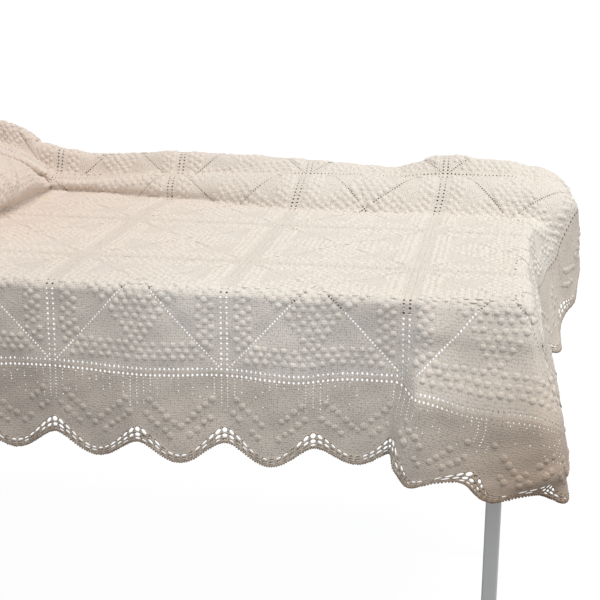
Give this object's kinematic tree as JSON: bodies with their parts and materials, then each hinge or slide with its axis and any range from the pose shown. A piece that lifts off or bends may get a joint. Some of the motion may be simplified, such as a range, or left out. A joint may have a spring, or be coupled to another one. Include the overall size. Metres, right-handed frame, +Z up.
{
  "type": "crochet bedspread on a table",
  "caption": "Crocheted cotton bedspread of popcorn squares with a scalloped lace border, draped over a plain table, with soft folds along the back and a heap of slack at the left.",
  "frame": {"origin": "on the floor under the middle of the whole object's box", "axes": "+X along the table to the viewer's right, +Y to the back, +Z up"},
  "size_m": [1.5764, 1.0532, 0.8631],
  "materials": {
    "ivory_cotton_squares": "matt ivory cotton, popcorn crochet",
    "ivory_cotton_border": "matt ivory cotton, plain crochet with popcorns",
    "ivory_cotton_lace": "matt ivory cotton, open crochet edging",
    "pine_board": "plain pine plywood, unvarnished",
    "white_painted_frame": "plain white paint on square steel tube, satin"
  },
  "bodies": {
    "root": {"field_of_squares": "ivory_cotton_squares", "scalloped_border": "ivory_cotton_border", "lace_edging": "ivory_cotton_lace", "table_board": "pine_board", "table_leg_left_front": "white_painted_frame", "table_leg_left_rear": "white_painted_frame", "table_leg_right_front": "white_painted_frame", "table_leg_right_rear": "white_painted_frame", "table_rail_front": "white_painted_frame", "table_rail_rear": "white_painted_frame", "table_rail_left": "white_painted_frame", "table_rail_right": "white_painted_frame"}
  },
  "joints": []
}
